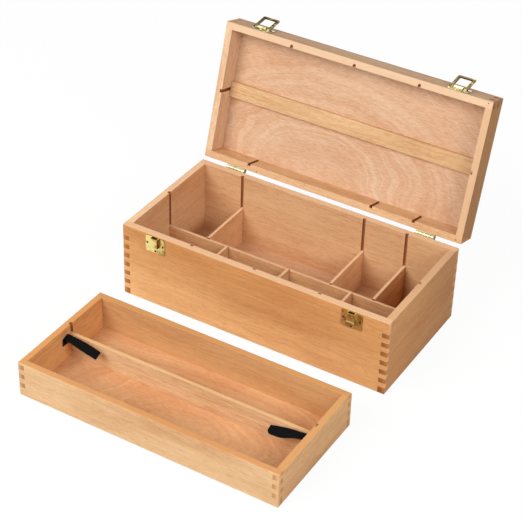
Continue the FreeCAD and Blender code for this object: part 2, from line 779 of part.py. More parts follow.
faults = [f"{piece.Name}: {piece.State}" for piece in doc.Objects
          if "Invalid" in piece.State or "Error" in piece.State]
faults += [f"{piece.Label}: no valid shape" for piece in NODES
           if piece.Shape.isNull() or not piece.Shape.isValid() or not piece.Shape.Solids]
if faults:
    raise SystemExit("\n".join(faults))

os.makedirs("parts", exist_ok=True)
for piece in NODES:
    piece.Shape.exportStep(f"parts/{piece.Label}.step")
    print(piece.Label, len(piece.Shape.Solids), round(piece.Shape.Volume))
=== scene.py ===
"""Looks of the wooden toolbox: beech boards, plywood panels, brass fittings, black straps.

Shapes are in metres and textures in millimetres. X runs along the case, Y to its back and Z up.
Textures are laid out on the case with its lid shut.
"""
import json
import math
import random

import bpy
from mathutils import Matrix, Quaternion, Vector


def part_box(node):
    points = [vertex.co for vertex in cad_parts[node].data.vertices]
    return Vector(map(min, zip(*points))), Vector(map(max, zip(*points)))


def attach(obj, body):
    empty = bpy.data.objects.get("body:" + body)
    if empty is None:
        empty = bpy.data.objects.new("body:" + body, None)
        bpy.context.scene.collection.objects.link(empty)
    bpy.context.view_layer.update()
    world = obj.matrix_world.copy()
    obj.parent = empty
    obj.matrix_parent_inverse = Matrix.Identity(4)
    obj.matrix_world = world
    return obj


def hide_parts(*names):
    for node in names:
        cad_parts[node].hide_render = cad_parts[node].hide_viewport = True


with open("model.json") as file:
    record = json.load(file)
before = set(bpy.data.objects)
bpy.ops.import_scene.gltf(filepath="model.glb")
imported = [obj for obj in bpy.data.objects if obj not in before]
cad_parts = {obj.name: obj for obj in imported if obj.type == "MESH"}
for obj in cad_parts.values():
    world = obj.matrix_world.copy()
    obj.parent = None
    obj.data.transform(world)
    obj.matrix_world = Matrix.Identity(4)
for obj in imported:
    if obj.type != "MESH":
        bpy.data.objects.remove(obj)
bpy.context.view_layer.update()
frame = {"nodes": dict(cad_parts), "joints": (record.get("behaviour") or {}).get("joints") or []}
NODES = frame["nodes"]
MM = 0.001

LID_HINGE = next(joint for joint in frame["joints"] if joint["name"] == "lid_hinge")
HINGE_POINT = Vector(LID_HINGE["pos_m"])
OPENING = math.radians(-LID_HINGE["range_deg"][0])

# The camera, from the corners of the case, the lid and the tray
CAMERA_PLACE = Vector((0.8591, -1.5512, 1.3332))
CAMERA_FORWARD = Vector((-0.4094, 0.7040, -0.5803))
CAMERA_ROLL = math.radians(1.80)
CAMERA_LENS = 112.59
SENSOR_WIDTH = 36
CAMERA_REACH = (0.05, 50)

# Lamps: place, width in metres and power in watts. All face LAMP_TARGET
LAMP_TARGET = (0, -0.08, 0.1)
LAMPS = {
    "key": ((-0.9, -2.2, 2.05), 2.2, 78),
    "side_fill": ((1.9, -1.1, 1.5), 1.2, 26),
    "back_fill": ((-0.5, 2.6, 1.6), 2.0, 24),
}

# The floor is a little below the part. Its glow hides all but a faint shadow
FLOOR_SIZE = 12
FLOOR_Z = -0.0004
FLOOR_GLOW = 0.94
BOUNCE_GREY = (0.6, 0.6, 0.6, 1)
WHITE = (1, 1, 1, 1)
SURROUND_TINT = (1, 0.97, 0.93, 1)
SURROUND_STRENGTH = 0.28


def rgb(red, green, blue):
    """A colour as seen on a screen, 0 to 255, as linear light."""
    def linear(value):
        share = value / 255
        return share / 12.92 if share <= 0.04045 else ((share + 0.055) / 1.055) ** 2.4
    return (linear(red), linear(green), linear(blue), 1)


class Graph:
    """The nodes of a material or of the world, with a short call for each kind used here."""

    def __init__(self, owner):
        self.owner = owner
        owner.use_nodes = True
        self.tree = owner.node_tree
        self.tree.nodes.clear()

    def add(self, kind, feeds=None, **settings):
        node = self.tree.nodes.new("ShaderNode" + kind)
        for word, value in settings.items():
            setattr(node, word, value)
        for socket, value in (feeds or {}).items():
            self.feed(node.inputs[socket], value)
        return node

    def feed(self, socket, value):
        if isinstance(value, bpy.types.NodeSocket):
            self.tree.links.new(value, socket)
        else:
            socket.default_value = value

    def math(self, operation, *values):
        return self.add("Math", dict(enumerate(values)), operation=operation).outputs[0]

    def vector(self, operation, *values):
        kind = "Value" if operation in ("LENGTH", "DOT_PRODUCT") else "Vector"
        return self.add("VectorMath", dict(enumerate(values)), operation=operation).outputs[kind]

    def total(self, *values):
        whole = values[0]
        for value in values[1:]:
            whole = self.math("ADD", whole, value)
        return whole

    def scaled(self, value, factor):
        return self.math("MULTIPLY", value, factor)

    def swing(self, value, weight):
        """A value from 0 to 1 made to swing round zero, by half the weight each way."""
        return self.scaled(self.math("SUBTRACT", value, 0.5), weight)

    def ramp(self, value, low, high):
        """0 at low and 1 at high, smooth between them. Low may be the greater of the two."""
        feeds = {"Value": value, "From Min": low, "From Max": high}
        return self.add("MapRange", feeds, interpolation_type="SMOOTHSTEP").outputs[0]

    def between(self, value, rise, fall):
        """1 between two ranges, in which it rises and falls, and 0 outside of them."""
        return self.scaled(self.ramp(value, *rise), self.ramp(value, *fall))

    def blend(self, share, first, second, kind="MIX"):
        feeds = {0: share, 6: first, 7: second}
        return self.add("Mix", feeds, data_type="RGBA", blend_type=kind).outputs[2]

    def overlaid(self, color, share, strength, overlay_color):
        """A colour with another over it where share is 1, as strong as strength."""
        return self.blend(self.scaled(share, strength), color, rgb(*overlay_color))

    def axis(self, value, place):
        return self.add("SeparateXYZ", {0: value}).outputs[place]

    def facing(self, normal, place):
        """How far a direction points along one axis, either way."""
        return self.math("ABSOLUTE", self.axis(normal, place))

    def noise(self, spot, lengths, detail=2.0, roughness=0.5, output=0):
        """Noise from 0 to 1 whose waves have the given length along each axis."""
        stretched = self.vector("MULTIPLY", spot, tuple(1 / length for length in lengths))
        feeds = {"Vector": stretched, "Scale": 1.0, "Detail": detail, "Roughness": roughness}
        return self.add("TexNoise", feeds).outputs[output]

    def noise_along(self, value, seed, length, detail=1.0, roughness=0.5):
        """Noise that changes with one value only."""
        line = self.add("CombineXYZ", {0: value, 1: seed}).outputs[0]
        return self.noise(line, (length, 1, 1), detail, roughness)

    def noises(self, spot, table):
        return {word: self.noise(spot, *settings) for word, settings in table.items()}

    def bent(self, spot, seeded, lengths, detail, reach):
        """A spot pushed aside by noise, by half the reach each way."""
        color = self.noise(seeded, lengths, detail, output="Color")
        push = self.vector("SUBTRACT", color, (0.5, 0.5, 0.5))
        return self.vector("ADD", spot, self.vector("MULTIPLY", push, reach))

    def surface(self, color, roughness, height, **sockets):
        """Ends the material with a shader. Heights are in millimetres."""
        raised = self.add("Bump", {"Strength": 1.0, "Distance": MM, "Height": height})
        feeds = {"Base Color": color, "Roughness": roughness, "Normal": raised.outputs[0]}
        feeds.update({word.replace("_", " "): value for word, value in sockets.items()})
        shader = self.add("BsdfPrincipled", feeds)
        self.add("OutputMaterial", {0: shader.outputs[0]})
        return self.owner

    def spot_and_normal(self, on_lid):
        """The place in millimetres and the outward direction, with the lid's pieces shut."""
        source = self.add("TexCoord")
        spot, normal = source.outputs["Object"], source.outputs["Normal"]
        if on_lid:
            turn = {"Angle": OPENING}
            spot = self.add("VectorRotate", {"Vector": spot, "Center": HINGE_POINT, **turn},
                            rotation_type="X_AXIS").outputs[0]
            normal = self.add("VectorRotate", {"Vector": normal, "Center": (0, 0, 0), **turn},
                              rotation_type="X_AXIS").outputs[0]
        return self.vector("MULTIPLY", spot, (1 / MM,) * 3), normal

    def turned(self, value, order):
        """The same vector with its parts in another order, such as "yzx"."""
        parts = self.add("SeparateXYZ", {0: value})
        picked = {place: parts.outputs["xyz".index(letter)] for place, letter in enumerate(order)}
        return self.add("CombineXYZ", picked).outputs[0]


# Wood colours, as they look in plain light
BEECH_LIGHT = (240, 198, 148)
BEECH_DARK = (205, 148, 98)
PINK_LIGHT = (240, 204, 168)
PINK_DARK = (214, 158, 118)
END_GRAIN = (142, 90, 48)
SOFT_END_GRAIN = (194, 142, 98)
CASE_LEFT_END = (158, 106, 62)
LID_END_GRAIN = (176, 118, 74)
LID_DARK_END = (140, 94, 60)
TRAY_END_GRAIN = (184, 138, 92)
TRAY_LEFT_END = (168, 128, 84)
PLANED = (248, 212, 176)
TRAY_RIM = (214, 152, 92)
TRAY_FRONT_RIM = (212, 144, 82)
TRAY_DIVIDER_RIM = (234, 186, 128)
# Browns of the grooves' walls, partly painted shade in the recess
GROOVE_BROWN_AND_SHADE = (178, 118, 76)
LID_GROOVE_BROWN_AND_SHADE = (160, 98, 62)
PORE = (120, 70, 38)

# A warmer colour loses this much green for each share of blue
GREEN_LOSS = 0.4

# Each board's texture is moved by up to this far, so that no two are alike
BOARD_SHIFT = 900

# Noise in a board: its lengths along the grain, across it and through it, its detail and roughness
BEECH_NOISE = {
    "cloudy": ((150, 34, 34), 2.0, 0.5),
    "streaks": ((120, 3.2, 3.2), 3.0, 0.6),
    "fibres": ((22, 0.42, 0.42), 2.0, 0.7),
    "dashes": ((11, 0.9, 0.9), 2.0, 0.6),
    "ticks": ((3.4, 0.42, 1.6), 1.0, 0.5),
    "flecks": ((12, 1.1, 1.1), 1.0, 0.6),
    "pores": ((2.6, 0.14, 0.14), 1.0, 0.5),
}
# How much each of them darkens the wood, and how dark it is without them
BEECH_WEIGHTS = {"late": 0.16, "cloudy": 0.75, "streaks": 0.65, "dashes": 0.85, "fibres": 0.7}
BEECH_MIDDLE = 0.42
# Brown specks: the range of noise in which they begin, and their strength. Rays show as short
# ticks along the grain, pores as fine dashes
BEECH_SPECKS = {"ticks": (0.66, 0.74, 0.38), "flecks": (0.54, 0.70, 0.18), "pores": (0.63, 0.72, 0.22)}

# The log's rings: how they wander, where its heart lies, how wide a ring is and how uneven
WANDER_LENGTHS = (170, 46, 46)
WANDER_DETAIL = 2.0
WANDER_REACH = (0, 34, 16)
HEART_ACROSS = (-25, 45)
HEART_THROUGH = (45, 80)
RING_WIDTH = (2.6, 3.6)
RING_UNEVEN_LENGTH = 11
RING_UNEVEN = 2.4
RING_DEPTH_LENGTH = 6
RING_DEPTH_RANGE = (0.3, 0.7)
# The dark late wood, as shares of a ring
LATE_RISE = (0.25, 0.9)
LATE_FALL = (1.0, 0.93)

# How far a face has to turn to the end, and to the rim, to look like it
END_TURN = (0.3, 0.6)
RIM_TURN = (0.6, 0.9)
NOT_RIM_TURN = (0.5, 0.3)
# The end grain: how late wood and fibres lighten it, and how pale it is near the outer face
END_LATE = -0.35
END_FIBRES = 0.9
END_RANGE = (0.1, 1.0)
END_LIGHTNESS = 1.18
OUTER_END_DEPTH = (7, 1)
OUTER_END_WARMTH = -0.12
OUTER_END_LIGHTNESS = 1.22
GROOVE_SOFT = 0.1
MARK_SOFT = 0.4
MARK_STRENGTH = 0.9
# The relief in millimetres and the roughness, with what each part of the figure adds
BEECH_RELIEF = {"fibres": 0.03, "pores": -0.03, "late": 0.015}
BEECH_ROUGHNESS = {"plain": 0.40, "streaks": 0.12, "pores": 0.2, "end": 0.18}
WOOD_SPECULAR = 0.04


def toned(color, warmth, lightness):
    """A colour made warmer, or cooler if warmth is negative, and lighter."""
    red, green, blue = color
    return rgb(min(red * lightness, 255), min(green * lightness * (1 - GREEN_LOSS * warmth), 255),
               min(blue * lightness * (1 - warmth), 255))


def between_colors(first, second, share):
    """A colour that lies this share of the way from the first to the second."""
    return [a + (b - a) * share for a, b in zip(first, second)]


def late_wood(g, spot, seeded, shift, draw):
    """The dark part of each ring of a log that is cut off centre and wanders along the board."""
    bent = g.bent(spot, seeded, WANDER_LENGTHS, WANDER_DETAIL, WANDER_REACH)
    heart = (0, -draw.uniform(*HEART_ACROSS), draw.choice((-1, 1)) * draw.uniform(*HEART_THROUGH))
    radius = g.vector("LENGTH", g.vector("MULTIPLY", g.vector("ADD", bent, heart), (0, 1, 1)))
    ring_width = draw.uniform(*RING_WIDTH)
    uneven = g.noise_along(radius, shift[0], RING_UNEVEN_LENGTH)
    turn = g.math("ADD", g.scaled(radius, 1 / ring_width), g.scaled(uneven, RING_UNEVEN))
    late = g.between(g.math("FRACT", turn), LATE_RISE, LATE_FALL)
    depth = g.ramp(g.noise_along(radius, shift[1], RING_DEPTH_LENGTH), *RING_DEPTH_RANGE)
    return g.scaled(late, depth)


def ramp_darkened(g, color, spot, darkening_ramp):
    """A board's colour multiplied by a tint that grows along a ramp across it."""
    (grain_share, width_share), start, stop, tint = darkening_ramp
    place = g.vector("MULTIPLY", spot, (grain_share, width_share, 0))
    place = g.vector("DOT_PRODUCT", place, (1, 1, 1))
    return g.blend(g.ramp(place, start, stop), color, rgb(*tint), "MULTIPLY")


def end_grain(g, spot, late, fibres, end, outer):
    """The darker colour of a board's ends, with the rings seen across."""
    light = g.math("ADD", g.scaled(late, END_LATE), g.scaled(fibres, END_FIBRES))
    color = g.blend(g.ramp(light, *END_RANGE), rgb(*end), toned(end, 0, END_LIGHTNESS))
    if outer is None:
        return color
    inset = g.math("ABSOLUTE", g.math("SUBTRACT", g.axis(spot, 2), outer))
    pale = toned(end, OUTER_END_WARMTH, OUTER_END_LIGHTNESS)
    return g.blend(g.ramp(inset, *OUTER_END_DEPTH), color, pale)


def groove_shaded(g, color, spot, across, groove, groove_shade_color):
    """A board's colour with brown on the grooves' walls: partly the cutter's brown, partly painted shade
    in the recess.
    """
    (near, far), (start, stop) = groove
    parts = g.add("SeparateXYZ", {0: spot}).outputs
    inside = g.between(parts[2], (near, near + GROOVE_SOFT), (far, far - GROOVE_SOFT))
    clear = g.scaled(g.math("GREATER_THAN", parts[0], start), g.math("LESS_THAN", parts[0], stop))
    share = g.scaled(g.scaled(inside, clear), g.ramp(across, *NOT_RIM_TURN))
    return g.blend(share, color, rgb(*groove_shade_color))


def marked(g, color, spot, marks):
    """A colour with small dark marks, each at X and Y and with a radius."""
    for x, y, radius in marks:
        away = g.vector("MULTIPLY", g.vector("SUBTRACT", spot, (x, y, 0)), (1, 1, 0))
        gap = g.vector("LENGTH", away)
        color = g.overlaid(color, g.ramp(gap, radius, radius - MARK_SOFT), MARK_STRENGTH, PORE)
    return color


def beech(name, order, on_lid=False, warmth=0.0, lightness=1.0, pink=0.0, end=END_GRAIN,
          groove=None, groove_shade_color=GROOVE_BROWN_AND_SHADE, marks=(), rim=0.0, rim_color=PLANED, figure=1.0,
          outer=None, darkening_ramp=None):
    """A board whose grain runs along the first axis of order and whose thickness is the last.

    The share rim says how far its planed edges go to rim_color, and figure how strong the streaks are.
    A groove is two ranges in millimetres, through the board and along it, that hold the grooves' walls.
    The end grain is paler near the outer face, which lies at outer millimetres. Marks are the places of
    small dark nail heads on the rim and of painted shade round groove mouths: X, Y and radius in
    millimetres. A darkening ramp multiplies the board by a tint: the shares of grain axis and width that
    it follows, where it starts and stops, its tint. On the case's front it is painted shade.
    """
    draw = random.Random(name)
    g = Graph(bpy.data.materials.new(name))
    raw_spot, raw_normal = g.spot_and_normal(on_lid)
    spot = g.turned(raw_spot, order)
    normal = g.turned(raw_normal, order)
    shift = tuple(draw.uniform(-BOARD_SHIFT, BOARD_SHIFT) for _ in range(3))
    seeded = g.vector("ADD", spot, shift)
    late = late_wood(g, spot, seeded, shift, draw)
    noise = g.noises(seeded, BEECH_NOISE)
    fibres = noise["fibres"]

    dark = g.total(
        g.scaled(late, BEECH_WEIGHTS["late"]),
        g.swing(noise["cloudy"], BEECH_WEIGHTS["cloudy"]),
        g.swing(noise["streaks"], BEECH_WEIGHTS["streaks"] * figure),
        g.swing(noise["dashes"], BEECH_WEIGHTS["dashes"] * figure),
        g.swing(fibres, BEECH_WEIGHTS["fibres"]),
        BEECH_MIDDLE,
    )
    light_tone = toned(between_colors(BEECH_LIGHT, PINK_LIGHT, pink), warmth, lightness)
    dark_tone = toned(between_colors(BEECH_DARK, PINK_DARK, pink), warmth, lightness)
    color = g.blend(g.ramp(dark, 0.0, 1.0), light_tone, dark_tone)
    # A darkening along the board. On the case's front it is painted shade
    if darkening_ramp is not None:
        color = ramp_darkened(g, color, spot, darkening_ramp)

    specks = {}
    for word, (low, high, strength) in BEECH_SPECKS.items():
        specks[word] = g.ramp(noise[word], low, high)
        color = g.overlaid(color, specks[word], strength, PORE)

    across_end = g.ramp(g.facing(normal, 0), *END_TURN)
    color = g.blend(across_end, color, end_grain(g, spot, late, fibres, end, outer))
    across = g.facing(normal, 1)
    color = g.overlaid(color, g.ramp(across, *RIM_TURN), rim, rim_color)
    # Brown on the grooves' walls, partly painted shade in the recess
    if groove is not None:
        color = groove_shaded(g, color, spot, across, groove, groove_shade_color)
    # Dark nail heads, and painted shade round groove mouths
    color = marked(g, color, raw_spot, marks)

    height = g.total(
        g.scaled(fibres, BEECH_RELIEF["fibres"]),
        g.scaled(specks["pores"], BEECH_RELIEF["pores"]),
        g.scaled(late, BEECH_RELIEF["late"]),
    )
    roughness = g.total(
        BEECH_ROUGHNESS["plain"],
        g.scaled(noise["streaks"], BEECH_ROUGHNESS["streaks"]),
        g.scaled(specks["pores"], BEECH_ROUGHNESS["pores"]),
        g.scaled(across_end, BEECH_ROUGHNESS["end"]),
    )
    return g.surface(color, roughness, height, Specular_IOR_Level=WOOD_SPECULAR)


# Noise in a veneer: its lengths along X, Y and Z, its detail and roughness
VENEER_NOISE = {
    "cloudy": ((110, 60, 60), 2.0, 0.5),
    "fibres": ((14, 0.7, 0.7), 3.0, 0.65),
    "dashes": ((8, 1.1, 1.1), 1.0, 0.6),
    "ticks": ((4.2, 0.45, 0.45), 1.0, 0.5),
    "patch": ((50, 35, 35), 1.0, 0.5),
    "edge": ((0.5, 0.5, 0.3), 2.0, 0.5),
}
VENEER_WEIGHTS = {"dashes": 0.8, "wide": 0.5, "fine": 0.5, "cloudy": 0.6, "fibres": 0.9}
VENEER_MIDDLE = 0.55
VENEER_RELIEF = {"fibres": 0.03, "ticks": -0.03}
VENEER_ROUGHNESS = {"plain": 0.44, "fine": 0.12, "ticks": 0.15}
VENEER_WANDER_LENGTHS = (120, 55, 55)
VENEER_WANDER_DETAIL = 1.5
VENEER_WANDER_REACH = (46, 30, 0)
TICK_RANGE = (0.64, 0.72)
TICK_STRENGTH = 0.30
# Rings of the nested figure: wide and fine bands, and pale lines one step apart that slip aside
WIDE_LENGTH = 13
FINE_LENGTH = 3.2
SLIP_LENGTH = 11
SLIP_REACH = 14
LINE_STEP = 8.2
LINE_START = 3
LINE_RANGE = (-0.5, 1.0)
LINE_FADE_IN = 8
LINE_FADE_OUT = 40
PATCH_RANGE = (0.3, 0.65)
# Inside this share of the first line's radius there are no bands
CALM_SHARE = 0.4
# The core's place in the thickness and how soft its limits are
PLY_SHARES = (0.28, 0.72)
PLY_SOFT = 0.03
PLY_EDGE_TURN = (0.7, 0.4)
PLY_EDGE = {"layer": (0.05, 0.95), "core": (0.2, 0.82), "grain": 0.3}


def nested_figure(g, spot, seeded, shift, center, stretch):
    """The distance from the figure's centre, drawn out along the grain, with its two noises."""
    bent = g.bent(spot, seeded, VENEER_WANDER_LENGTHS, VENEER_WANDER_DETAIL, VENEER_WANDER_REACH)
    away = g.vector("SUBTRACT", bent, (center[0], center[1], 0))
    rings = g.vector("LENGTH", g.vector("MULTIPLY", away, (1 / stretch, 1, 0)))
    wide = g.noise_along(rings, shift, WIDE_LENGTH)
    fine = g.noise_along(rings, shift, FINE_LENGTH, detail=2.0, roughness=0.6)
    return rings, wide, fine


def pale_lines(g, rings, shift, patch, lines):
    """Where the veneer's pale lines are, 0 to 1."""
    slip = g.scaled(g.noise_along(rings, shift, SLIP_LENGTH), SLIP_REACH)
    phase = g.math("SUBTRACT", g.math("ADD", rings, slip), lines[0] + LINE_START)
    pale = g.ramp(g.math("COSINE", g.scaled(phase, math.tau / LINE_STEP)), *LINE_RANGE)
    zone = g.between(rings, (lines[0] - LINE_FADE_IN, lines[0]), (lines[1] + LINE_FADE_OUT, lines[1]))
    return g.scaled(pale, g.scaled(zone, g.ramp(patch, *PATCH_RANGE)))


def layered_edge(g, spot, low_z, thick, grain):
    """The panel's edge. The core's grain runs the other way, so it shows as a dark stripe."""
    share = g.scaled(g.math("SUBTRACT", g.axis(spot, 2), low_z / MM), MM / thick)
    core = g.between(share, (PLY_SHARES[0] - PLY_SOFT, PLY_SHARES[0]),
                     (PLY_SHARES[1] + PLY_SOFT, PLY_SHARES[1]))
    color = g.blend(core, toned(PINK_DARK, *PLY_EDGE["layer"]), toned(PINK_DARK, *PLY_EDGE["core"]))
    return g.overlaid(color, grain, PLY_EDGE["grain"], PORE)


def plywood(name, center, stretch, low_z, thick, lines, strength, on_lid=False, lightness=1.0, warmth=0.0):
    """A peeled veneer with a nested figure round center, on a core that shows at its edges.

    Its pale lines lie between the two radii of lines, in millimetres, and are as strong as strength.
    The panel's lower face is at low_z and it is thick, both in metres.
    """
    draw = random.Random(name)
    g = Graph(bpy.data.materials.new(name))
    spot, normal = g.spot_and_normal(on_lid)
    shift = tuple(draw.uniform(-BOARD_SHIFT, BOARD_SHIFT) for _ in range(3))
    seeded = g.vector("ADD", spot, shift)
    noise = g.noises(seeded, VENEER_NOISE)
    rings, wide, fine = nested_figure(g, spot, seeded, shift[0], center, stretch)
    banded = g.ramp(rings, lines[0] * CALM_SHARE, lines[0])
    pale = pale_lines(g, rings, shift[0], noise["patch"], lines)

    dark = g.total(
        g.swing(noise["dashes"], VENEER_WEIGHTS["dashes"]),
        g.swing(wide, g.scaled(banded, VENEER_WEIGHTS["wide"])),
        g.swing(fine, g.scaled(banded, VENEER_WEIGHTS["fine"])),
        g.swing(noise["cloudy"], VENEER_WEIGHTS["cloudy"]),
        g.swing(noise["fibres"], VENEER_WEIGHTS["fibres"]),
        g.scaled(pale, -strength),
        VENEER_MIDDLE,
    )
    color = g.blend(g.ramp(dark, 0.0, 1.0), toned(PINK_LIGHT, warmth, lightness),
                    toned(PINK_DARK, warmth, lightness))
    ticks = g.ramp(noise["ticks"], *TICK_RANGE)
    color = g.overlaid(color, ticks, TICK_STRENGTH, PORE)
    edge_color = layered_edge(g, spot, low_z, thick, noise["edge"])
    color = g.blend(g.ramp(g.facing(normal, 2), *PLY_EDGE_TURN), color, edge_color)

    height = g.total(
        g.scaled(noise["fibres"], VENEER_RELIEF["fibres"]),
        g.scaled(ticks, VENEER_RELIEF["ticks"]),
    )
    roughness = g.total(
        VENEER_ROUGHNESS["plain"],
        g.scaled(fine, VENEER_ROUGHNESS["fine"]),
        g.scaled(ticks, VENEER_ROUGHNESS["ticks"]),
    )
    return g.surface(color, roughness, height, Specular_IOR_Level=WOOD_SPECULAR)


BRASS = (248, 228, 150)
PALE_BRASS = (240, 232, 188)
DULL_BRASS = (190, 166, 84)
# Dark brass for blotches that are partly tarnish and partly painted dark reflections, for painted shade on
# edges and for a painted dark reflection at a slant. The keepers' brown blotches are partly tarnish and
# partly a painted reflection of the wood
TARNISH_AND_SHADE_BRASS = (74, 58, 16)
BROWN_TARNISH_AND_REFLECTION = (146, 92, 30)
BLOTCH_LENGTHS = (9.0, 7.0, 9.0)
SCRATCH_LENGTHS = (4.0, 0.12, 0.12)
BLOTCH_START = 0.46
BLOTCH_SOFT = 0.14
# Painted shade on faces that don't point to the front or back: the plates' edges and sides, the knuckles'
# tops and bottoms
EDGE_SHADE_TURN = (0.5, 0.2)
EDGE_SHADE_STRENGTH = 0.6
SLANT_RANGE = (0.55, 0.85)
# Blotches and scratches add to the roughness and to the relief in millimetres
BRASS_SMOOTHER = 0.06
BRASS_ROUGHNESS = {"tarnish_and_reflections": 0.14, "scratches": 0.08}
BRASS_RELIEF = {"tarnish_and_reflections": 0.06, "scratches": 0.006}


def brass(name, roughness, tarnish_and_reflections, start=BLOTCH_START, on_lid=False, clean=BRASS, overlaid=TARNISH_AND_SHADE_BRASS,
          slant_dark_reflection=0.0):
    """Rolled brass sheet with a fine grain, slightly uneven, with dark blotches that are partly tarnish
    and partly painted dark reflections, and painted shade on its edges.

    The lower start, the larger the blotches. The last share paints a dark reflection on what is seen at a
    slant.
    """
    g = Graph(bpy.data.materials.new(name))
    spot, normal = g.spot_and_normal(on_lid)
    blotch_noise = g.noise(spot, BLOTCH_LENGTHS, detail=1.0)
    scratches = g.noise(spot, SCRATCH_LENGTHS)
    # Blotches: partly tarnish, partly painted dark reflections
    tone = g.overlaid(rgb(*clean), g.ramp(blotch_noise, start, start + BLOTCH_SOFT), tarnish_and_reflections, overlaid)
    # Painted shade on the edges and sides
    tone = g.overlaid(tone, g.ramp(g.facing(normal, 1), *EDGE_SHADE_TURN), EDGE_SHADE_STRENGTH, TARNISH_AND_SHADE_BRASS)
    # Painted dark reflection: faces seen at a slant darken by the last share
    slant = g.add("LayerWeight", {"Blend": 0.5}).outputs["Facing"]
    tone = g.overlaid(tone, g.ramp(slant, *SLANT_RANGE), slant_dark_reflection, TARNISH_AND_SHADE_BRASS)
    finish = g.total(
        roughness - BRASS_SMOOTHER,
        g.scaled(blotch_noise, BRASS_ROUGHNESS["tarnish_and_reflections"]),
        g.scaled(scratches, BRASS_ROUGHNESS["scratches"]),
    )
    height = g.total(
        g.scaled(blotch_noise, BRASS_RELIEF["tarnish_and_reflections"]),
        g.scaled(scratches, BRASS_RELIEF["scratches"]),
    )
    return g.surface(tone, finish, height, Metallic=1.0)


NAIL_BROWN = (74, 50, 18)
TACK_BLACK = (40, 40, 42)
WORN_GREY = (70, 68, 66)
MOTTLE_LENGTHS = (0.6, 0.6, 0.6)
MOTTLE_STRENGTH = 0.3
MOTTLE_ROUGHNESS = 0.3
MOTTLE_RELIEF = 0.03
NAIL_ROUGHNESS = 0.3


def dark_metal(name, color):
    """Darkened and mottled metal, for nails and tacks."""
    g = Graph(bpy.data.materials.new(name))
    spot, _ = g.spot_and_normal(False)
    mottle = g.noise(spot, MOTTLE_LENGTHS)
    tone = g.overlaid(rgb(*color), mottle, MOTTLE_STRENGTH, WORN_GREY)
    roughness = g.total(NAIL_ROUGHNESS, g.scaled(mottle, MOTTLE_ROUGHNESS))
    return g.surface(tone, roughness, g.scaled(mottle, MOTTLE_RELIEF), Metallic=0.8)


CREASE_SHADE_BLACK = (3, 3, 3)
LEATHER_BLACK = (5, 5, 6)
WORN_BLACK = (12, 12, 14)
PEBBLES_PER_MM = 1.5
CREASE_RANGE = (0.0, 0.16)
WEAR_LENGTHS = (9, 9, 9)
WEAR_RANGE = (0.35, 0.75)
CREASE_RELIEF = 0.05
WEAR_RELIEF = 0.25
WEAR_ROUGHNESS = 0.25
LEATHER_ROUGHNESS = 0.5
LEATHER_SPECULAR = 0.06


def leather(name):
    """Black finished leather with a fine pebble grain."""
    g = Graph(bpy.data.materials.new(name))
    spot, _ = g.spot_and_normal(False)
    cells = g.add("TexVoronoi", {"Vector": spot, "Scale": PEBBLES_PER_MM, "Randomness": 1.0},
                  feature="DISTANCE_TO_EDGE")
    creases = g.ramp(cells.outputs["Distance"], *CREASE_RANGE)
    wear = g.noise(spot, WEAR_LENGTHS, detail=3.0, roughness=0.6)
    color = g.blend(g.ramp(wear, *WEAR_RANGE), rgb(*LEATHER_BLACK), rgb(*WORN_BLACK))
    # Painted shade in the creases of the grain
    color = g.blend(creases, rgb(*CREASE_SHADE_BLACK), color)
    height = g.total(g.scaled(creases, CREASE_RELIEF), g.scaled(wear, WEAR_RELIEF))
    roughness = g.total(LEATHER_ROUGHNESS, g.scaled(wear, WEAR_ROUGHNESS))
    return g.surface(color, roughness, height, Specular_IOR_Level=LEATHER_SPECULAR)


def dress(names, material):
    """Gives CAD nodes one material."""
    for name in names:
        NODES[name].data.materials.clear()
        NODES[name].data.materials.append(material)


# The grooves' walls are brown, partly painted shade, to this depth, except this near the board's ends
GROOVE_DEPTH = 3.2
GROOVE_INSET = 0.05
CORNER = 14
RIM_NAILS = ((-114.4, 95.6, 1.1), (191.0, 94.2, 1.1), (193.5, -94.5, 1.1))
# Painted shade round the mouths of the lid's front grooves, which makes their dark notches look larger
MOUTH_SHADE_RADIUS = 2.2
MOUTH_SHADE_DEPTH = 2.8
# Painted shade: the case's front darkens towards its top and right, as its lower part takes more light
# from the floor. The case's right side darkens towards its back
FRONT_PAINTED_SHADE = ((0.10, 1.0), 12, 88, (231, 219, 207))
SIDE_DARKENING = ((1.0, 0.0), -98, 98, (234, 236, 234))
GROUP_LOOKS = {
    "case": {"warmth": 0.03, "pink": 0.5, "lightness": 0.96, "rim": 0.4},
    "lid": {"pink": 0.35, "lightness": 0.97, "groove_shade_color": LID_GROOVE_BROWN_AND_SHADE, "end": LID_END_GRAIN},
    "tray": {"lightness": 0.97, "warmth": -0.05, "end": TRAY_END_GRAIN, "figure": 0.7, "rim": 0.7,
             "rim_color": TRAY_RIM},
}
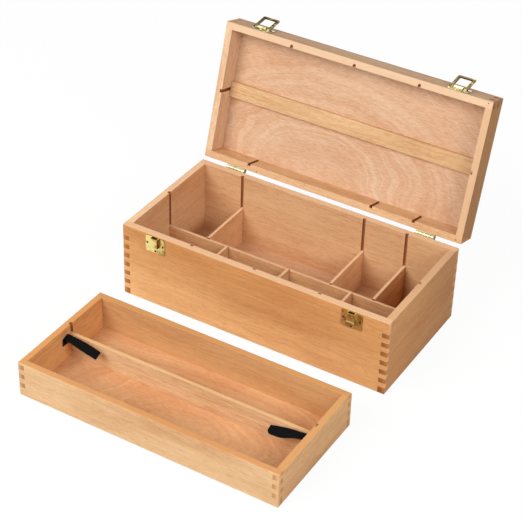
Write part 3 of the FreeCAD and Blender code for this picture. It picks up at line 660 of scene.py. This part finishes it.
# What sets a board apart from its group. The darker tone of the case's and the lid's right walls and of
# the lid's front wall is painted shade
WALL_LOOKS = {
    "case_front_wall": {"warmth": 0.11, "pink": 0.0, "lightness": 1.02, "end": SOFT_END_GRAIN,
                        "figure": 0.5, "rim": 0.55, "darkening_ramp": FRONT_PAINTED_SHADE},
    "case_back_wall": {"lightness": 0.95, "warmth": 0.06, "end": SOFT_END_GRAIN},
    "case_left_wall": {"lightness": 1.01, "end": CASE_LEFT_END},
    # Painted shade: the case's right side is darker and warmer
    "case_right_wall": {"warmth": 0.30, "pink": 1.0, "lightness": 0.91, "figure": 0.5,
                        "darkening_ramp": SIDE_DARKENING},
    # Painted shade: the lid's front wall is darker
    "lid_front_wall": {"lightness": 0.81, "pink": 0.5, "rim": 0.6, "end": LID_DARK_END},
    "lid_left_wall": {"lightness": 0.99, "warmth": -0.08, "pink": 0.6},
    # Painted shade: the lid's right wall is darker and warmer
    "lid_right_wall": {"lightness": 0.78, "warmth": 0.26, "rim": 0.5, "end": LID_DARK_END},
    "tray_front_wall": {"rim_color": TRAY_FRONT_RIM},
    "tray_back_wall": {"lightness": 0.905, "warmth": 0.12, "pink": 0.1, "figure": 0.5},
    "tray_left_wall": {"lightness": 1.01, "warmth": 0.16, "end": TRAY_LEFT_END, "figure": 1.0},
    "tray_right_wall": {"lightness": 1.0, "warmth": 0.04},
}


def rim_marks():
    """Dark nail heads, and painted shade round the groove mouths, on the lid's rim, as it lies on the shut
    case.
    """
    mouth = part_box("case_front_wall")[1].y / MM - MOUTH_SHADE_DEPTH
    centers = [sum(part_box(f"front_divider_{count}"), Vector()) / 2 for count in (1, 2, 3)]
    mouth_shades = tuple((center.x / MM, mouth, MOUTH_SHADE_RADIUS) for center in centers)
    return {
        "lid_back_wall": RIM_NAILS[:2],
        "lid_front_wall": RIM_NAILS[2:] + mouth_shades,
        "lid_right_wall": RIM_NAILS[2:],
    }


def dress_wall(group, side, marks):
    """A wall of the case, the lid or the tray. The lid's lie over the case's when shut."""
    order = "xzy" if side in ("front", "back") else "yzx"
    low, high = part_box(f"{group if group == 'tray' else 'case'}_{side}_wall")
    inner = {"front": high.y, "back": low.y, "left": high.x, "right": low.x}[side] / MM
    outer = {"front": low.y, "back": high.y, "left": low.x, "right": high.x}[side] / MM
    sign = 1 if side in ("back", "right") else -1
    near, far = sorted((inner, inner + sign * GROOVE_DEPTH))
    start, stop = (low.x, high.x) if order[0] == "x" else (low.y, high.y)
    groove = ((near + GROOVE_INSET, far - GROOVE_INSET), (start / MM + CORNER, stop / MM - CORNER))
    name = f"{group}_{side}_wall"
    look = {**GROUP_LOOKS[group], **WALL_LOOKS.get(name, {})}
    dress([name], beech(f"beech_{name}", order, on_lid=group == "lid", outer=outer, groove=groove,
                        marks=marks.get(name, ()), **look))


def dress_boards():
    """Each board gets its own cut of beech: grain axis first, then width, then thickness."""
    marks = rim_marks()
    for group in GROUP_LOOKS:
        for side in ("front", "back", "left", "right"):
            dress_wall(group, side, marks)
    dress(["lid_batten"], beech("beech_batten", "xyz", on_lid=True, warmth=-0.05, lightness=0.955))
    dress(["long_divider"], beech("beech_long_divider", "xzy", pink=0.4, warmth=0.08, lightness=0.98,
                                  rim=0.4))
    dress(["tray_divider"], beech("beech_tray_divider", "xzy", lightness=0.98, warmth=-0.1,
                                  rim=0.6, rim_color=TRAY_DIVIDER_RIM))
    for row in ("front", "rear"):
        for count in (1, 2, 3):
            name = f"{row}_divider_{count}"
            dress([name], beech(f"beech_{name}", "yzx", pink=0.4, warmth=0.05, rim=0.4))


# The lid's panel as it lies on the shut lid
LID_PANEL_LOW = 0.142
LID_PANEL_THICK = 0.004
# Veneers: the figure's centre in X and Y, how far it is drawn out along the grain, the radii between
# which its pale lines lie and their strength
CASE_VENEER = {"center": (60, 20), "stretch": 2.6, "lines": (30, 70), "strength": 0.1}
TRAY_VENEER = {"center": (20, -285), "stretch": 2.2, "lines": (30, 60), "strength": 0.16}
LID_VENEER = {"center": (-42, 92), "stretch": 1.45, "lines": (60, 92), "strength": 0.13}


def dress_panels():
    """The plywood of the case, the tray and the lid, each with a veneer of its own."""
    low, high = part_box("case_base_panel")
    dress(["case_base_panel"], plywood("ply_case_base", low_z=low.z, thick=high.z - low.z,
                                       lightness=0.92, warmth=0.04, **CASE_VENEER))
    low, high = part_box("tray_base_panel")
    dress(["tray_base_panel"], plywood("ply_tray_base", low_z=low.z, thick=high.z - low.z,
                                       lightness=0.955, warmth=0.15, **TRAY_VENEER))
    dress(["lid_top_panel"], plywood("ply_lid", low_z=LID_PANEL_LOW, thick=LID_PANEL_THICK, on_lid=True,
                                     lightness=0.935, warmth=-0.03, **LID_VENEER))


def dress_fittings():
    """Brass for plates, loops and hinges, darker metal for nails and tacks."""
    # The loops' large dark blotches and the keepers' brown ones are partly painted reflections
    plates = {
        "latch_keeper": brass("brass", roughness=0.24, tarnish_and_reflections=0.5, overlaid=BROWN_TARNISH_AND_REFLECTION),
        "latch_base": brass("lid_brass", roughness=0.34, tarnish_and_reflections=0.6, on_lid=True, clean=PALE_BRASS,
                            slant_dark_reflection=0.3),
        "latch_loop": brass("loop_brass", roughness=0.2, tarnish_and_reflections=1.0, start=0.33, clean=DULL_BRASS,
                            slant_dark_reflection=0.8),
        "hinge_": brass("hinge_brass", roughness=0.4, tarnish_and_reflections=0.25, clean=PALE_BRASS, slant_dark_reflection=0.9),
    }
    for word, material in plates.items():
        dress([name for name in NODES if word in name and "nails" not in name], material)
    dress([name for name in NODES if "nails" in name], dark_metal("nail_brass", NAIL_BROWN))
    dress(["strap_tacks"], dark_metal("tack_steel", TACK_BLACK))


SOFTENED = ("keeper_", "latch_", "leaf_", "wall", "divider", "batten")
EDGE_ROUND = 0.3 * MM
LOOP_ROUND = 0.5 * MM
WELD_REACH = 0.002 * MM
FLAT_ANGLE = math.radians(1)
SHARP_ANGLE = math.radians(50)


def soften(name, width):
    """Breaks the sharp edges of a CAD node, as sanding or tumbling does."""
    modifiers = NODES[name].modifiers
    modifiers.new("weld", "WELD").merge_threshold = WELD_REACH
    flatten = modifiers.new("flatten", "DECIMATE")
    flatten.decimate_type = "DISSOLVE"
    flatten.angle_limit = FLAT_ANGLE
    bevel = modifiers.new("bevel", "BEVEL")
    bevel.width = width
    bevel.segments = 2
    bevel.limit_method = "ANGLE"
    bevel.angle_limit = SHARP_ANGLE
    bevel.use_clamp_overlap = True
    modifiers.new("tidy", "WELD").merge_threshold = WELD_REACH


def soften_edges():
    """Boards and brass lose their sharp edges. Nails keep their domed heads as they are."""
    for name in NODES:
        if any(word in name for word in SOFTENED) and "nails" not in name:
            soften(name, LOOP_ROUND if "loop" in name else EDGE_ROUND)


# Pull straps: a foot on the end wall, a bend, and a tongue that leans to the front and droops
STRAP_WIDTH = 12 * MM
STRAP_THICK = 1.6 * MM
STRAP_EDGE_ROUND = 0.5 * MM
STRAP_BEND = 2.2 * MM
STRAP_FOOT_RUN = 10 * MM
STRAP_TILT = math.radians(22)
STRAP_STEP = 0.7 * MM
STRAP_DROOP_RATE = 4
# Shares of the strap's length
STRAP_NECK_PLACE = 0.30
STRAP_NECK_SPREAD = 0.24
STRAP_BELLY_SPREAD = 0.2
STRAP_LEAN_END = 0.25
# The front edge's rounding at the tip draws in by this share
STRAP_FRONT_TIP = 0.8
STRAP_CORNER_STEPS = 4
STRAP_CORNER_TURN = 30
STRAP_LOOKS = {
    # the tongue's length and its droop at the tip, the neck's share of the width, how far the front
    # edge bellies out and where, and how long the tip's rounding is at the back and front edges
    "left": {"tongue": 50.5 * MM, "droop": math.radians(14), "neck": 0.82, "belly": 0.3 * MM,
             "belly_share": 0.6, "back_round": 1.8 * MM, "front_round": 2.4 * MM},
    "right": {"tongue": 54 * MM, "droop": math.radians(15.5), "neck": 0.76, "belly": 2.6 * MM,
              "belly_share": 0.68, "back_round": 1.2 * MM, "front_round": 7 * MM},
}


def strap_section():
    """Points round a strip's section: a corner's side across, its rounding, the same through."""
    points = []
    corners = ((1, 1, 0), (-1, 1, 90), (-1, -1, 180), (1, -1, 270))
    for across, through, start in corners:
        for step in range(STRAP_CORNER_STEPS):
            angle = math.radians(start + STRAP_CORNER_TURN * step)
            points.append((across, math.cos(angle), through, math.sin(angle)))
    return points


def strap_path(tongue, droop):
    """Points up the wall, round the bend and out along the tongue, as (out, up, heading, share)."""
    out, up, heading = 0.0, 0.0, math.pi / 2
    points = []
    bend_end = STRAP_FOOT_RUN + STRAP_BEND * math.pi / 2
    whole = bend_end + tongue
    for count in range(int(whole / STRAP_STEP) + 1):
        run = count * STRAP_STEP
        points.append((out, up, heading, run / whole))
        if STRAP_FOOT_RUN <= run < bend_end:
            heading -= STRAP_STEP / STRAP_BEND
        elif run >= bend_end:
            heading -= (heading + droop) * STRAP_STEP / tongue * STRAP_DROOP_RATE
        out += STRAP_STEP * math.cos(heading)
        up += STRAP_STEP * math.sin(heading)
    return points


def tip_inset(left_over, rounding):
    """How far a rounded tip's edge has drawn in, with left_over still to go."""
    if left_over >= rounding:
        return 0.0
    return rounding - math.sqrt(rounding ** 2 - (rounding - left_over) ** 2)


def strap_edges(look, share, left_over):
    """How far the strap reaches to the back and to the front of its middle line."""
    wide = 1 - math.exp(-((share - STRAP_NECK_PLACE) / STRAP_NECK_SPREAD) ** 2)
    half = STRAP_WIDTH / 2 * (look["neck"] + (1 - look["neck"]) * wide)
    belly = look["belly"] * math.exp(-((share - look["belly_share"]) / STRAP_BELLY_SPREAD) ** 2)
    back = half - tip_inset(left_over, look["back_round"])
    front = half + belly - tip_inset(left_over, look["front_round"]) * STRAP_FRONT_TIP
    return back, front


def strap_mesh(name, vertices, rings, size):
    """A closed, smooth skin over rings of vertices."""
    faces = []
    for ring in range(rings - 1):
        for k in range(size):
            a = ring * size + k
            b = ring * size + (k + 1) % size
            faces.append((a, b, b + size, a + size))
    faces.append(tuple(range(size - 1, -1, -1)))
    faces.append(tuple(range((rings - 1) * size, rings * size)))
    mesh = bpy.data.meshes.new(name)
    mesh.from_pydata(vertices, [], faces)
    mesh.update()
    for polygon in mesh.polygons:
        polygon.use_smooth = True
    return mesh


def build_strap(side):
    """A cut strip of leather with rounded edges, bent out from the end wall."""
    node = f"pull_strap_{side}"
    look = STRAP_LOOKS[side]
    low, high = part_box(node)
    inward = 1 if side == "left" else -1
    wall = low.x if side == "left" else high.x
    middle = high.y - STRAP_WIDTH / 2
    path = strap_path(look["tongue"], look["droop"])
    section = strap_section()
    length = STRAP_STEP * (len(path) - 1)
    vertices = []
    for out, up, heading, share in path:
        lean = STRAP_TILT * min(1, share / STRAP_LEAN_END)
        back, front = strap_edges(look, share, (1 - share) * length)
        for across, round_across, through, round_through in section:
            edge = max(back if across > 0 else front, STRAP_EDGE_ROUND)
            aside = across * (edge - STRAP_EDGE_ROUND) + STRAP_EDGE_ROUND * round_across
            rise = through * (STRAP_THICK / 2 - STRAP_EDGE_ROUND) + STRAP_EDGE_ROUND * round_through
            vertices.append((
                wall + inward * (STRAP_THICK / 2 + out + math.sin(heading) * rise),
                middle + aside * math.cos(lean),
                low.z + up - math.cos(heading) * rise + aside * math.sin(lean),
            ))
    mesh = strap_mesh(f"strap_{side}", vertices, len(path), len(section))
    piece = bpy.data.objects.new(f"strap_{side}", mesh)
    bpy.context.scene.collection.objects.link(piece)
    piece.data.materials.append(leather(f"strap_leather_{side}"))
    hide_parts(node)
    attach(piece, "tray")


def seen_directly(g):
    """1 where the camera looks, also in gloss or through glass, and 0 for light that bounces."""
    rays = g.add("LightPath").outputs
    seen = g.math("MAXIMUM", rays["Is Camera Ray"], rays["Is Glossy Ray"])
    return g.math("MAXIMUM", seen, rays["Is Transmission Ray"])


def build_floor():
    """A plain white floor that keeps a faint shadow."""
    bpy.ops.mesh.primitive_plane_add(size=FLOOR_SIZE, location=(0, 0, FLOOR_Z))
    floor = bpy.context.object
    floor.name = "floor"
    g = Graph(bpy.data.materials.new("floor_white"))
    seen = seen_directly(g)
    plain = g.add("BsdfDiffuse", {"Color": g.blend(seen, BOUNCE_GREY, WHITE)})
    glow = g.add("Emission", {"Color": WHITE, "Strength": 1.0})
    mixed = g.add("MixShader", {0: g.scaled(seen, FLOOR_GLOW), 1: plain.outputs[0], 2: glow.outputs[0]})
    g.add("OutputMaterial", {0: mixed.outputs[0]})
    floor.data.materials.append(g.owner)


def build_surround():
    """White where the camera looks, and a weak warm light from all sides."""
    world = bpy.data.worlds.new("surround")
    g = Graph(world)
    white = g.add("Background", {"Color": WHITE})
    lit = g.add("Background", {"Color": SURROUND_TINT, "Strength": SURROUND_STRENGTH})
    mixed = g.add("MixShader", {0: seen_directly(g), 1: lit.outputs[0], 2: white.outputs[0]})
    g.add("OutputWorld", {0: mixed.outputs[0]})
    bpy.context.scene.world = world


def build_lights():
    """Three large soft lamps."""
    for name, (place, width, power) in LAMPS.items():
        lamp = bpy.data.lights.new(name, "AREA")
        lamp.shape = "DISK"
        lamp.size = width
        lamp.energy = power
        holder = bpy.data.objects.new(name, lamp)
        holder.location = place
        holder.rotation_euler = (Vector(LAMP_TARGET) - Vector(place)).to_track_quat("-Z", "Y").to_euler()
        bpy.context.scene.collection.objects.link(holder)


def build_camera():
    """The camera stands as the photograph's did."""
    data = bpy.data.cameras.new("camera")
    data.lens = CAMERA_LENS
    data.sensor_width = SENSOR_WIDTH
    data.clip_start, data.clip_end = CAMERA_REACH
    camera = bpy.data.objects.new("camera", data)
    camera.location = CAMERA_PLACE
    aim = CAMERA_FORWARD.to_track_quat("-Z", "Y")
    camera.rotation_mode = "QUATERNION"
    camera.rotation_quaternion = aim @ Quaternion((0, 0, 1), CAMERA_ROLL)
    bpy.context.scene.collection.objects.link(camera)
    bpy.context.scene.camera = camera


bpy.context.scene.view_settings.view_transform = "Standard"
build_camera()
build_lights()
build_floor()
build_surround()
dress_boards()
dress_panels()
dress_fittings()
for strap_side in STRAP_LOOKS:
    build_strap(strap_side)
soften_edges()
